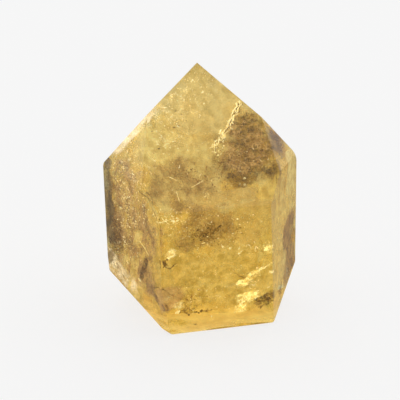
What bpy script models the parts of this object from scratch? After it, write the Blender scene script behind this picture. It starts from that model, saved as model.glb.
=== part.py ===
"""A cut and polished point of citrine quartz, standing on its sawn foot.

The stone is one piece. Each flat face is one saw cut, given the way a gem cutter's chart gives it: the
compass direction that the face looks to, how far it leans back from upright, and how far it lies from the
middle of the stone. The cuts meet in sharp edges, which polishing has rounded a little.

Axes: +Z is up, -Y is the front and +X the stone's right as seen from the front. The origin is on the foot,
straight under the middle of the stone. Units are metres and degrees.
"""

import math
from collections import namedtuple

import bmesh
import bpy
from mathutils import Vector

# Driving dimensions.
MIDDLE_HEIGHT = 0.0325  # from the foot up to the middle of the stone
EDGE_RADIUS = 0.0002  # the round that polishing leaves on every edge
EDGE_STEPS = 3  # flats across one rounded edge
BLOCK_SIZE = 0.2  # rough block that the cuts are made in, well over the stone's size
WELD = 1e-6  # corners closer than this are one corner
FLAT_ANGLE = math.radians(0.2)  # neighbours within this angle are one flat face

MIDDLE = Vector((0.0, 0.0, MIDDLE_HEIGHT))

# facing: 0 is the front, +90 the stone's right, -90 its left. lean: 0 is upright, +90 looks up, -90 down.
# reach: distance from the middle of the stone to the face.
Cut = namedtuple("Cut", "facing lean reach")

# The six tall sides. A hand-cut stone is a little out of true, so they lean by a degree or so.
SIDES = {
    "front": Cut(13.5, -1.0, 0.01670),
    "front_right": Cut(68.0, 1.5, 0.02115),
    "back_right": Cut(140.0, -1.5, 0.01960),
    "back": Cut(192.0, -0.5, 0.02060),
    "back_left": Cut(-110.0, -0.5, 0.02155),
    "front_left": Cut(-49.0, -2.0, 0.02035),
}

# The six faces of the point. Three large ones meet at the tip, and three smaller ones lie between them.
POINT = {
    "large_front": Cut(14.0, 42.5, 0.01330),
    "large_back_right": Cut(124.5, 38.0, 0.02245),
    "large_back_left": Cut(-110.5, 38.5, 0.02200),
    "small_front_right": Cut(67.5, 35.0, 0.02135),
    "small_back": Cut(190.0, 38.0, 0.02750),
    "small_front_left": Cut(-48.5, 35.5, 0.02115),
}

# The foot that it stands on, and the cuts that taper the stone down to it.
FOOT = {
    "foot": Cut(0.0, -90.0, MIDDLE_HEIGHT),
    "taper_right": Cut(93.5, -36.5, 0.03390),
    "taper_back": Cut(192.0, -45.0, 0.02880),
    "taper_left": Cut(-84.0, -52.5, 0.03225),
    "taper_front_left": Cut(-49.5, -9.0, 0.02245),
}

# Corners that wear has rounded: the three faces that meet there, the two ways (facing, lean) that the wear
# turns between, its radius and the number of flats that it is made with.
Wear = namedtuple("Wear", "faces first last radius flats")
WORN_CORNERS = {
    "right_shoulder": Wear(
        ("front_right", "back_right", "large_back_right"), (90.0, 0.0), (112.0, 39.0), 0.0045, 3
    ),
    "foot_left": Wear(("front", "taper_front_left", "foot"), (-67.5, -39.5), (12.5, -64.5), 0.0025, 2),
    "foot_right": Wear(("front", "taper_right", "foot"), (12.5, -64.5), (80.5, -19.5), 0.0014, 2),
}

CITRINE_COLOUR = (0.86, 0.62, 0.20, 1.0)
QUARTZ_IOR = 1.544
POLISH_ROUGHNESS = 0.03


def direction(facing, lean):
    """The way a face looks, as a unit vector."""
    around = math.radians(facing)
    up = math.radians(lean)
    return Vector((math.sin(around) * math.cos(up), -math.cos(around) * math.cos(up), math.sin(up)))


def plane_of(cut):
    """A cut as its outward direction and its distance from the middle of the stone."""
    return direction(cut.facing, cut.lean), cut.reach


def meeting_point(planes):
    """Where three planes meet, measured from the middle of the stone."""
    (n1, d1), (n2, d2), (n3, d3) = planes
    across = n2.cross(n3)
    return (d1 * across + d2 * n3.cross(n1) + d3 * n1.cross(n2)) / n1.dot(across)


def worn_planes(wear, cuts):
    """Flats that touch a ball lying in the corner, fanned between the two ways of the wear."""
    corner = meeting_point([plane_of(cuts[name]) for name in wear.faces])
    first = direction(*wear.first)
    last = direction(*wear.last)
    ball = corner - (first + last) * wear.radius / (1.0 + first.dot(last))
    planes = []
    for step in range(1, wear.flats + 1):
        outward = first.slerp(last, step / (wear.flats + 1))
        planes.append((outward, outward.dot(ball) + wear.radius))
    return planes


def all_planes():
    """Every flat of the stone."""
    cuts = {**SIDES, **POINT, **FOOT}
    planes = [plane_of(cut) for cut in cuts.values()]
    for wear in WORN_CORNERS.values():
        planes.extend(worn_planes(wear, cuts))
    return planes


def cut_block(planes, inset):
    """A block cut by every plane, each moved in by the inset, as a closed bmesh."""
    stone = bmesh.new()
    bmesh.ops.create_cube(stone, size=BLOCK_SIZE)
    for outward, reach in planes:
        everything = stone.verts[:] + stone.edges[:] + stone.faces[:]
        result = bmesh.ops.bisect_plane(
            stone, geom=everything, plane_co=outward * (reach - inset), plane_no=outward, clear_outer=True
        )
        rim = [item for item in result["geom_cut"] if isinstance(item, bmesh.types.BMEdge)]
        if rim:
            bmesh.ops.contextual_create(stone, geom=rim)
    bmesh.ops.remove_doubles(stone, verts=stone.verts[:], dist=WELD)
    bmesh.ops.recalc_face_normals(stone, faces=stone.faces[:])
    return stone


def roll_edges(core, radius, steps):
    """The stone that a ball of this radius sweeps over the core: flats stay flat and edges become round."""
    rolled = bmesh.new()
    for edge in core.edges:
        first, last = [face.normal for face in edge.link_faces]
        for step in range(steps + 1):
            outward = first.slerp(last, step / steps)
            for corner in edge.verts:
                rolled.verts.new(MIDDLE + corner.co + outward * radius)
    bmesh.ops.remove_doubles(rolled, verts=rolled.verts[:], dist=WELD)
    hull = bmesh.ops.convex_hull(rolled, input=rolled.verts[:])
    inside = {item for item in hull["geom_interior"] + hull["geom_unused"] if isinstance(item, bmesh.types.BMVert)}
    bmesh.ops.delete(rolled, geom=list(inside), context="VERTS")
    bmesh.ops.dissolve_limit(rolled, angle_limit=FLAT_ANGLE, verts=rolled.verts[:], edges=rolled.edges[:])
    bmesh.ops.recalc_face_normals(rolled, faces=rolled.faces[:])
    return rolled


def citrine_material():
    """Clear honey-yellow quartz with a polished skin."""
    material = bpy.data.materials.new("citrine")
    material.use_nodes = True
    shader = material.node_tree.nodes["Principled BSDF"]
    shader.inputs["Base Color"].default_value = CITRINE_COLOUR
    shader.inputs["Metallic"].default_value = 0.0
    shader.inputs["Roughness"].default_value = POLISH_ROUGHNESS
    shader.inputs["IOR"].default_value = QUARTZ_IOR
    shader.inputs["Transmission Weight"].default_value = 1.0
    return material


def make_crystal():
    """The whole stone as one object."""
    core = cut_block(all_planes(), EDGE_RADIUS)
    stone = roll_edges(core, EDGE_RADIUS, EDGE_STEPS)
    mesh = bpy.data.meshes.new("crystal")
    stone.to_mesh(mesh)
    stone.free()
    core.free()
    mesh.materials.append(citrine_material())
    crystal = bpy.data.objects.new("crystal", mesh)
    bpy.context.scene.collection.objects.link(crystal)
    return crystal


def main():
    for old in list(bpy.data.objects):
        bpy.data.objects.remove(old)
    make_crystal()


main()
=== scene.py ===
"""A cut point of citrine quartz, dressed: its polished skin, its colour, and everything that grew inside it.

The stone itself is the frame's node "crystal". Inside it this script makes what makes quartz look real: the
healed cracks and open cracks, the smoky clouds, the sparkling splinters, the fine grain and the dark specks.
Every place is in millimetres from the middle of the foot, with +Z up, -Y the front and +X the stone's right.
"""

import math
from collections import namedtuple

import bmesh
import bpy
import numpy as np
from mathutils import Euler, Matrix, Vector


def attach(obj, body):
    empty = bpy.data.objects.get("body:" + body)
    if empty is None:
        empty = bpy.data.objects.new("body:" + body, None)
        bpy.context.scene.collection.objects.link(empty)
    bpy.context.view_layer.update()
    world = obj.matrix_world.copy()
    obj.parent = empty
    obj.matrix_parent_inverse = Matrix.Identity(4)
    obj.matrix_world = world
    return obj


bl_info = {
    "name": "Citrine crystal point",
    "version": (1, 0, 0),
    "blender": (4, 5, 0),
    "location": "3D View > Sidebar > Citrine",
    "description": "Dresses a cut citrine point and grows the cracks, clouds and sparks inside it",
    "category": "Add Mesh",
}

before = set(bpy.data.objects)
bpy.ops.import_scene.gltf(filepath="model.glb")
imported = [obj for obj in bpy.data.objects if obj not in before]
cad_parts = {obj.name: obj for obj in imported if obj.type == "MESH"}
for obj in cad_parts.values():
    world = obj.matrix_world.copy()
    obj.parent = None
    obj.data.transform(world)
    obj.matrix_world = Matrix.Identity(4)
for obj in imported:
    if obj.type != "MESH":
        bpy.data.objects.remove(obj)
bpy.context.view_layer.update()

MM = 0.001
STONE = "crystal"
BODY = "root"

# ---------------------------------------------------------------- the stone's own shape

SMALLEST_FACE = 1.0 * MM * MM  # triangles under this are only part of a rounded edge


def stone_faces():
    """The stone's flat faces: outward directions, and how far each lies from the origin."""
    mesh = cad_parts[STONE].data
    flats = {}
    for face in mesh.polygons:
        if face.area < SMALLEST_FACE:
            continue
        key = tuple(round(part, 3) for part in face.normal)
        flats[key] = (tuple(face.normal), face.normal.dot(face.center))
    directions = np.array([flat[0] for flat in flats.values()])
    distances = np.array([flat[1] for flat in flats.values()])
    return directions, distances


FACE_DIRECTIONS, FACE_DISTANCES = stone_faces()


def depth_inside(points):
    """How far each point lies under the nearest face, in metres; it is negative outside the stone."""
    points = np.atleast_2d(points)
    return np.min(FACE_DISTANCES[None, :] - points @ FACE_DIRECTIONS.T, axis=1)


# ---------------------------------------------------------------- nodes


class Wire:
    """A node's output. Arithmetic on it adds Math nodes."""

    def __init__(self, nodes, socket):
        self.nodes = nodes
        self.socket = socket

    def maths(self, operation, first, second=0.0):
        return self.nodes.add("ShaderNodeMath", {"operation": operation}, {0: first, 1: second})

    def __add__(self, other):
        return self.maths("ADD", self, other)

    __radd__ = __add__

    def __sub__(self, other):
        return self.maths("SUBTRACT", self, other)

    def __rsub__(self, other):
        return self.maths("SUBTRACT", other, self)

    def __mul__(self, other):
        return self.maths("MULTIPLY", self, other)

    __rmul__ = __mul__

    def __abs__(self):
        return self.maths("ABSOLUTE", self)

    def step(self, low, high):
        """0 up to low and 1 from high on, with a smooth rise between; it falls where high is below low."""
        return self.nodes.add(
            "ShaderNodeMapRange", {"interpolation_type": "SMOOTHSTEP"}, {0: self, 1: low, 2: high}
        )


class Nodes:
    """The nodes of one material or world, made one call at a time."""

    def __init__(self, owner):
        owner.use_nodes = True
        self.tree = owner.node_tree
        self.tree.nodes.clear()

    def add(self, kind, settings=None, sockets=None, output=0):
        """A node of this kind, its settings made first, then its sockets filled; returns one output."""
        node = self.tree.nodes.new(kind)
        for name, value in (settings or {}).items():
            setattr(node, name, value)
        for name, value in (sockets or {}).items():
            if isinstance(value, Wire):
                self.tree.links.new(value.socket, node.inputs[name])
            else:
                node.inputs[name].default_value = value
        return Wire(self, node.outputs[output]) if node.outputs else None

    def mix(self, factor, first, second):
        """A colour between two colours."""
        return self.add("ShaderNodeMix", {"data_type": "RGBA"}, {0: factor, 6: first, 7: second}, output=2)

    def place(self):
        """Where a point is on the piece, in metres in the stone's own frame."""
        return self.add("ShaderNodeTexCoord", output=3)

    def noise(self, grain, detail=4.0, rough=0.55, stretch=(1.0, 1.0, 1.0), turn=(0.0, 0.0, 0.0), shift=0.0):
        """Cloudy noise whose lumps are about grain millimetres across."""
        scaled = self.add(
            "ShaderNodeMapping",
            {"vector_type": "POINT"},
            {"Vector": self.place(), "Location": (shift, shift, shift), "Rotation": turn, "Scale": stretch},
        )
        return self.add(
            "ShaderNodeTexNoise",
            {"noise_dimensions": "3D"},
            {"Vector": scaled, "Scale": 1.0 / (grain * MM), "Detail": detail, "Roughness": rough},
        )


def see_colour(red, green, blue):
    """A colour given as 0-255 screen values, as a shader wants it."""
    linear = []
    for part in (red, green, blue):
        part = part / 255.0
        linear.append(part / 12.92 if part <= 0.04045 else ((part + 0.055) / 1.055) ** 2.4)
    return (*linear, 1.0)


# ---------------------------------------------------------------- settings

class StoneSettings(bpy.types.PropertyGroup):
    """The quartz itself."""

    tint: bpy.props.FloatVectorProperty(
        name="Tint", description="What 20 mm of the stone lets through", subtype="COLOR", size=3,
        default=(0.825, 0.742, 0.255), min=0.0, max=1.0,
    )
    depth_of_colour: bpy.props.FloatProperty(
        name="Depth of colour", description="How strongly thickness colours the stone", default=60.0, min=0.0,
    )
    upper_wash: bpy.props.FloatVectorProperty(
        name="Upper wash", description="The colour that the skin of the point adds", subtype="COLOR", size=3,
        default=(0.98, 0.97, 0.92), min=0.0, max=1.0,
    )
    lower_wash: bpy.props.FloatVectorProperty(
        name="Lower wash", description="The colour that the skin of the foot adds", subtype="COLOR", size=3,
        default=(0.96, 0.93, 0.78), min=0.0, max=1.0,
    )
    ior: bpy.props.FloatProperty(name="IOR", description="How strongly quartz bends light", default=1.544, min=1.0)
    haze: bpy.props.FloatProperty(
        name="Haze", description="Roughness of the polish, which softens what lies inside", default=0.10,
        min=0.0, max=0.15, subtype="FACTOR",
    )


class GrowthSettings(bpy.types.PropertyGroup):
    """What grew inside the quartz."""

    sparkle_amount: bpy.props.FloatProperty(
        name="Sparkles", description="How many bright splinters there are, as a share", default=1.0, min=0.0,
        max=4.0, subtype="FACTOR",
    )
    sparkle_size: bpy.props.FloatProperty(
        name="Sparkle size", description="Length of the largest bright splinters", default=0.75 * MM, min=0.0,
        unit="LENGTH",
    )
    # The sparkle colour is a painted highlight: the glint of the bright splinters, given as a colour.
    sparkle_colour: bpy.props.FloatVectorProperty(
        name="Sparkle colour", description="The palest colour of the bright splinters", subtype="COLOR", size=3,
        default=see_colour(255, 246, 205)[:3], min=0.0, max=1.0,
    )
    smoke_amount: bpy.props.FloatProperty(
        name="Smoke", description="How many brown splinters the smoky clouds hold, as a share", default=1.0,
        min=0.0, max=4.0, subtype="FACTOR",
    )
    smoke_pale: bpy.props.FloatVectorProperty(
        name="Pale smoke", description="The palest brown of the main smoky cloud", subtype="COLOR", size=3,
        default=see_colour(178, 140, 42)[:3], min=0.0, max=1.0,
    )
    smoke_deep: bpy.props.FloatVectorProperty(
        name="Deep smoke", description="The darkest brown of the main smoky cloud", subtype="COLOR", size=3,
        default=see_colour(104, 75, 6)[:3], min=0.0, max=1.0,
    )
    crack_width: bpy.props.FloatProperty(
        name="Crack width", description="Width of the widest strand of the bright crack", default=0.38 * MM,
        min=0.0, unit="LENGTH",
    )
    # The crack colour is a painted highlight: it stands for the light that the faces of the open cracks throw back.
    crack_highlight_colour: bpy.props.FloatVectorProperty(
        name="Crack colour", description="The palest colour of the faces of the open cracks", subtype="COLOR",
        size=3, default=see_colour(255, 247, 196)[:3], min=0.0, max=1.0,
    )


class StageSettings(bpy.types.PropertyGroup):
    """The floor, the light and the camera."""

    floor_colour: bpy.props.FloatVectorProperty(
        name="Floor", description="Colour of the plain floor", subtype="COLOR", size=3,
        default=(0.20, 0.20, 0.20), min=0.0, max=1.0,
    )
    floor_glow: bpy.props.FloatProperty(
        name="Floor glow", description="Light that the floor gives off, which keeps shadows faint", default=0.762,
        min=0.0,
    )
    room_light: bpy.props.FloatProperty(
        name="Room light", description="Strength of the pale room all round", default=1.03, min=0.0,
    )
    front_shade: bpy.props.FloatProperty(
        name="Front shade", description="How much darker the room is behind the camera", default=0.75,
        min=0.0, max=1.0, subtype="FACTOR",
    )
    low_shade: bpy.props.FloatProperty(
        name="Low shade", description="How much darker the stone's sides mirror what is below them", default=0.7,
        min=0.0, max=1.0, subtype="FACTOR",
    )
    camera_distance: bpy.props.FloatProperty(
        name="Camera distance", description="From the camera to what it looks at", default=0.4, unit="LENGTH",
    )
    camera_height: bpy.props.FloatProperty(
        name="Camera angle", description="How far the camera looks down", default=math.radians(25.0),
        subtype="ANGLE",
    )
    lens: bpy.props.FloatProperty(
        name="Lens", description="Focal length of the camera, in millimetres", default=144.0, min=1.0,
    )


# ---------------------------------------------------------------- finishes


def polished_citrine(settings):
    """Clear honey-yellow quartz: a hand polish over a stone that thickness makes deeper in colour."""
    material = bpy.data.materials.new("citrine")
    nodes = Nodes(material)
    height = nodes.add("ShaderNodeSeparateXYZ", sockets={"Vector": nodes.place()}, output=2)
    zone = (height + (nodes.noise(14.0, 3.0) - 0.5) * 0.02).step(0.044, 0.018)
    wash = nodes.mix(zone, (*settings.upper_wash, 1.0), (*settings.lower_wash, 1.0))
    smear = nodes.noise(9.0, 5.0, 0.6).step(0.45, 0.75)
    scratches = nodes.noise(0.9, 2.0, 0.5, stretch=(1.0, 0.06, 0.5), turn=(0.3, 0.5, 0.4)).step(0.66, 0.72)
    hairlines = nodes.noise(0.7, 2.0, 0.5, stretch=(0.05, 1.0, 0.7), turn=(0.9, 0.2, 1.1)).step(0.68, 0.73)
    ripple = nodes.noise(6.0, 1.0, 0.4) * 0.5 + nodes.noise(2.2, 2.0, 0.5) * 0.08
    relief = ripple - (scratches + hairlines) * 0.02
    bump = nodes.add("ShaderNodeBump", sockets={"Strength": 1.0, "Distance": 0.00006, "Height": relief})
    surface = nodes.add(
        "ShaderNodeBsdfPrincipled",
        sockets={
            "Base Color": wash,
            "Roughness": settings.haze + smear * 0.02 + (scratches + hairlines) * 0.03,
            "IOR": settings.ior,
            "Transmission Weight": 1.0,
            "Normal": bump,
        },
    )
    body = nodes.add(
        "ShaderNodeVolumeAbsorption",
        sockets={"Color": (*settings.tint, 1.0), "Density": settings.depth_of_colour},
    )
    nodes.add("ShaderNodeOutputMaterial", sockets={"Surface": surface, "Volume": body})
    return material


def pale_floor(settings):
    """Plain pale paper."""
    material = bpy.data.materials.new("floor_paper")
    nodes = Nodes(material)
    fibre = nodes.noise(0.6, 3.0, 0.6)
    bump = nodes.add("ShaderNodeBump", sockets={"Strength": 0.2, "Distance": 0.00002, "Height": fibre})
    surface = nodes.add(
        "ShaderNodeBsdfPrincipled",
        sockets={
            "Base Color": (*settings.floor_colour, 1.0),
            "Roughness": 0.9,
            "Specular IOR Level": 0.0,
            "Emission Color": (1.0, 1.0, 1.0, 1.0),
            "Emission Strength": settings.floor_glow,
            "Normal": bump,
        },
    )
    nodes.add("ShaderNodeOutputMaterial", sockets={"Surface": surface})
    return material



def splinter_finish(name, pale, deep, glow, roughness=0.4, patch=1.2):
    """Splinters that change from one colour to another from place to place.

    Light that quartz bends in crowds together, so what lies inside is brighter than it would be in air. The
    glow stands for that.
    """
    material = bpy.data.materials.new(name)
    nodes = Nodes(material)
    share = nodes.noise(patch, 3.0, 0.7).step(0.40, 0.60)
    colour = nodes.mix(share, deep, pale)
    surface = nodes.add(
        "ShaderNodeBsdfPrincipled",
        sockets={
            "Base Color": colour,
            "Roughness": roughness + share * 0.1,
            "Emission Color": colour,
            "Emission Strength": glow,
        },
    )
    nodes.add("ShaderNodeOutputMaterial", sockets={"Surface": surface})
    return material


Lace = namedtuple("Lace", "pale deep glow haze solid threads lump speck stretch torn", defaults=(0.9,))


def veil_finish(name, lace, seed):
    """A healed crack: clear in places, and elsewhere thick with bubbles too small to tell apart."""
    material = bpy.data.materials.new(name)
    nodes = Nodes(material)
    patches = nodes.noise(lace.lump, 6.0, 0.6, lace.stretch, shift=seed * 0.37).step(0.38, 0.62)
    specks = nodes.noise(lace.speck, 3.0, 0.75, lace.stretch, shift=seed * 0.53).step(0.40, 0.62)
    threads = abs(nodes.noise(lace.lump * 0.45, 5.0, 0.62, lace.stretch, shift=seed * 0.91) - 0.5).step(0.045, 0.0)
    fade = nodes.add("ShaderNodeAttribute", {"attribute_name": EDGE_FADE}, output=2)
    torn = nodes.noise(lace.lump * 0.4, 6.0, 0.6, shift=seed * 0.71) - 0.5
    edge = (fade + torn * lace.torn).step(0.05, 0.95) * fade.step(0.0, 0.3)
    shade = nodes.noise(lace.speck * 3.0, 6.0, 0.62, lace.stretch, shift=seed * 0.17).step(0.36, 0.64)
    colour = nodes.mix(shade, lace.deep, lace.pale)
    surface = nodes.add(
        "ShaderNodeBsdfPrincipled",
        sockets={
            "Base Color": colour,
            "Roughness": 0.5,
            "Emission Color": colour,
            # The glow is painted light: it stands for light that the quartz crowds together, as in the splinters.
            "Emission Strength": lace.glow,
            "Alpha": (patches * (specks * 0.35 + 0.65) * lace.solid + threads * lace.threads + lace.haze) * edge,
        },
    )
    nodes.add("ShaderNodeOutputMaterial", sockets={"Surface": surface})
    return material


# ---------------------------------------------------------------- what grows inside

TO_FRONT = (0.1, -0.9, 0.42)  # roughly the way that the front faces look
LARGE_FRONT = (0.178, -0.715, 0.676)  # the way that the large front face of the point looks
SMALL_FRONT_LEFT = (-0.610, -0.539, 0.581)  # the way that the small face left of it looks
FRONT_SIDE = (0.233, -0.972, -0.017)  # the way that the tall front side looks
BACK_SIDE = (-0.208, 0.978, -0.009)  # the way that the tall back side looks
SHEET_STEP = 1.2  # millimetres between the points of a healed crack
ALL_FACES = "all faces"
DIE_AWAY = 1.6 * MM  # a cloud dies away over this depth under the faces that cut it off
DIE_AWAY_LEFT = 3.4 * MM  # and the veils of the point over this depth under the small face
SKIN = 0.35 * MM  # no splinter comes nearer than this to a face
RIM_GAP = 0.12 * MM  # and no healed crack nearer than this
EDGE_FADE = "edge_fade"  # how solid a healed crack is at each point; it dies away towards its rim
Cloud = namedtuple("Cloud", "middle reach turn count")
Sheet = namedtuple("Sheet", "middle facing width length bend ripple turn", defaults=(0.0,))
Vein = namedtuple("Vein", "route count spread")
Grit = namedtuple("Grit", "small large stretch thickness corners")
Chip = namedtuple("Chip", "place length height turn")
Ribbon = namedtuple("Ribbon", "route first last sway wave phase ragged")
RIBBON_STEP = 0.35  # millimetres between the rings of a crack edge


class Folds:
    """Curved sheets that fill space, like the healed cracks in quartz: the zero surfaces of a few crossed waves."""

    def __init__(self, rng, spacing, waves=7):
        ways = rng.normal(size=(waves, 3))
        ways /= np.linalg.norm(ways, axis=1)[:, None]
        lengths = spacing * rng.uniform(0.6, 1.8, waves)
        self.pace = ways * (2.0 * math.pi / lengths)[:, None]
        self.start = rng.uniform(0.0, 2.0 * math.pi, waves)
        self.scale = 1.0 / math.sqrt(waves)

    def height(self, points):
        """How far a point is from its sheet, without a unit; 0 is on it."""
        return np.sin(points @ self.pace.T + self.start).sum(axis=1) * self.scale

    def across(self, points):
        """The way straight across the sheet at each point."""
        slope = np.cos(points @ self.pace.T + self.start) @ self.pace
        return slope / np.linalg.norm(slope, axis=1)[:, None]


def unit(vectors):
    """The vectors, each made one long."""
    return vectors / np.maximum(np.linalg.norm(vectors, axis=1), 1e-12)[:, None]


def cloud_points(cloud, folds, sharpness, rng):
    """Points of one cloud: thick in its middle, gathered on the folds, and all inside the stone."""
    turn = np.array(Euler([math.radians(angle) for angle in cloud.turn]).to_matrix())
    kept = []
    found = 0
    for _ in range(60):
        near = rng.normal(size=(cloud.count * 3, 3))
        near = near[np.linalg.norm(near, axis=1) < 2.2]
        points = (near * np.array(cloud.reach) * MM * 0.6) @ turn.T + np.array(cloud.middle) * MM
        near_fold = np.exp(-((folds.height(points) / sharpness) ** 2))
        points = points[rng.uniform(size=len(points)) < near_fold]
        points = points[depth_inside(points) > SKIN]
        kept.append(points)
        found += len(points)
        if found >= cloud.count:
            break
    return np.concatenate(kept)[: cloud.count]


def along(route, shares):
    """Points at these shares of the way along a route, and the way the route runs there."""
    route = np.array(route) * MM
    legs = np.linalg.norm(np.diff(route, axis=0), axis=1)
    marks = np.concatenate([[0.0], np.cumsum(legs)]) / legs.sum()
    points = np.stack([np.interp(shares, marks, route[:, axis]) for axis in range(3)], axis=1)
    ahead = np.stack([np.interp(shares + 0.02, marks, route[:, axis]) for axis in range(3)], axis=1)
    behind = np.stack([np.interp(shares - 0.02, marks, route[:, axis]) for axis in range(3)], axis=1)
    return points, unit(ahead - behind)


def flakes(name, points, flat_ways, long_ways, size, stretch, thickness, corners, rng):
    """Thin ragged splinters as one mesh. Each is a closed solid: a ring of corners with a peak on either side."""
    count = len(points)
    across = unit(np.cross(flat_ways, long_ways))
    along_ways = np.cross(across, flat_ways)
    angles = (np.arange(corners)[None, :] + rng.uniform(-0.3, 0.3, (count, corners))) * (2.0 * math.pi / corners)
    reach = rng.uniform(0.55, 1.0, (count, corners)) * size[:, None] * 0.5
    along_step = (np.cos(angles) * reach * np.sqrt(stretch)[:, None])[:, :, None] * along_ways[:, None, :]
    across_step = (np.sin(angles) * reach / np.sqrt(stretch)[:, None])[:, :, None] * across[:, None, :]
    ring = points[:, None, :] + along_step + across_step
    peak = flat_ways * (size * thickness / np.sqrt(stretch))[:, None]
    corners_of_flake = np.concatenate([ring, (points + peak)[:, None, :], (points - peak)[:, None, :]], axis=1)
    first = np.arange(corners)
    after = (first + 1) % corners
    top = np.stack([first, after, np.full(corners, corners)], axis=1)
    bottom = np.stack([after, first, np.full(corners, corners + 1)], axis=1)
    pattern = np.concatenate([top, bottom])
    triangles = (pattern[None, :, :] + (np.arange(count) * (corners + 2))[:, None, None]).reshape(-1, 3)
    return mesh_piece(name, corners_of_flake.reshape(-1, 3), triangles)


def splinters(name, points, flat_ways, long_ways, grit, material, rng):
    """A piece of splinters, most of them small and a few large."""
    count = len(points)
    size = grit.small * (grit.large / grit.small) ** (rng.uniform(size=count) ** 2.2) * MM
    stretch = rng.uniform(1.0, grit.stretch, count)
    room = (depth_inside(points) - RIM_GAP) * 2.0 / np.sqrt(stretch)
    size = np.clip(size, 0.0, room)
    piece = flakes(name, points, flat_ways, long_ways, size, stretch, grit.thickness, grit.corners, rng)
    piece.data.materials.append(material)
    return piece


def mesh_piece(name, corners, triangles):
    """A new object with this mesh, riding on the stone."""
    mesh = bpy.data.meshes.new(name)
    mesh.vertices.add(len(corners))
    mesh.vertices.foreach_set("co", corners.astype(np.float32).ravel())
    mesh.loops.add(triangles.size)
    mesh.loops.foreach_set("vertex_index", triangles.astype(np.int32).ravel())
    mesh.polygons.add(len(triangles))
    mesh.polygons.foreach_set("loop_start", np.arange(0, triangles.size, 3, dtype=np.int32))
    mesh.update(calc_edges=True)
    piece = bpy.data.objects.new(name, mesh)
    bpy.context.scene.collection.objects.link(piece)
    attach(piece, BODY)
    return piece


def grow_sheet(name, sheet, material, seed, soft_at=None):
    """A healed crack as one thin closed sheet, bent and rippled, and cut off under the stone's skin.

    It dies away under the face that looks the way of soft_at, or under every face for ALL_FACES.
    """
    rng = np.random.default_rng(seed)
    facing = unit(np.array([sheet.facing], dtype=float))[0]
    level = unit(np.cross([(0.0, 0.0, 1.0)], facing))[0]
    turn = math.radians(sheet.turn)
    sideways = math.cos(turn) * level + math.sin(turn) * np.cross(facing, level)
    upward = np.cross(facing, sideways)
    steps_wide = max(8, round(sheet.width / SHEET_STEP))
    steps_long = max(8, round(sheet.length / SHEET_STEP))
    across, up = np.meshgrid(np.linspace(-0.5, 0.5, steps_wide + 1), np.linspace(-0.5, 0.5, steps_long + 1))
    folds = Folds(rng, 16.0, waves=5)
    flat = across.ravel()[:, None] * sheet.width * sideways + up.ravel()[:, None] * sheet.length * upward
    lift = sheet.bend * (across.ravel() ** 2 + up.ravel() ** 2) * 4.0 + folds.height(flat) * sheet.ripple
    middle_layer = (np.array(sheet.middle) + flat + lift[:, None] * facing) * MM
    ragged = Folds(rng, 7.0, waves=6).height(flat) * 0.32
    rim = 1.0 - np.sqrt((across.ravel() * 2.0) ** 2 + (up.ravel() * 2.0) ** 2) + ragged
    border = 1.0 - np.maximum(np.abs(across.ravel()), np.abs(up.ravel())) * 2.0
    fade = np.clip(rim / 0.45, 0.0, 1.0) * np.clip(border / 0.2, 0.0, 1.0)
    if soft_at is not None:
        cut_off, over = FACE_DIRECTIONS @ facing < 0.95, DIE_AWAY
        if soft_at is not ALL_FACES:
            cut_off, over = FACE_DIRECTIONS @ np.array(soft_at) > 0.98, DIE_AWAY_LEFT
        depth = np.min(FACE_DISTANCES[cut_off] - middle_layer @ FACE_DIRECTIONS[cut_off].T, axis=1)
        fade *= np.clip(depth / over, 0.0, 1.0)
    row = steps_wide + 1
    start = (np.arange(steps_long)[:, None] * row + np.arange(steps_wide)[None, :]).ravel()
    cells = np.stack([start, start + 1, start + row + 1, start + row], axis=1)
    cells = cells[(fade[cells] > 0.0).any(axis=1)]
    sheet_mesh = bpy.data.meshes.new(name)
    used, packed = np.unique(cells, return_inverse=True)
    sheet_mesh.from_pydata(middle_layer[used].tolist(), [], packed.reshape(cells.shape).tolist())
    attribute = sheet_mesh.attributes.new(EDGE_FADE, "FLOAT", "POINT")
    attribute.data.foreach_set("value", fade[used].astype(np.float32))
    trim_to_stone(sheet_mesh)
    sheet_mesh.materials.append(material)
    piece = bpy.data.objects.new(name, sheet_mesh)
    bpy.context.scene.collection.objects.link(piece)
    thicken = piece.modifiers.new("thickness", "SOLIDIFY")
    thicken.thickness = 0.04 * MM
    thicken.offset = 0.0
    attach(piece, BODY)
    return piece


def trim_to_stone(mesh):
    """Cuts off what lies outside the stone or just under its skin."""
    trimmed = bmesh.new()
    trimmed.from_mesh(mesh)
    for outward, distance in zip(FACE_DIRECTIONS, FACE_DISTANCES):
        everything = trimmed.verts[:] + trimmed.edges[:] + trimmed.faces[:]
        bmesh.ops.bisect_plane(
            trimmed,
            geom=everything,
            plane_co=Vector(outward) * (distance - RIM_GAP),
            plane_no=Vector(outward),
            clear_outer=True,
        )
    trimmed.to_mesh(mesh)
    trimmed.free()


def grow_clouds(name, clouds, grit, material, seed, spacing=4.0, sharpness=0.35, scatter=0.5, amount=1.0):
    """All of these clouds as one piece of splinters, which lie mostly flat in the folds."""
    rng = np.random.default_rng(seed)
    folds = Folds(rng, spacing * MM)
    clouds = [cloud._replace(count=round(cloud.count * amount)) for cloud in clouds]
    points = np.concatenate([cloud_points(cloud, folds, sharpness, rng) for cloud in clouds])
    flat_ways = unit(folds.across(points) + rng.normal(size=points.shape) * scatter)
    return splinters(name, points, flat_ways, rng.normal(size=points.shape), grit, material, rng)


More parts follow.
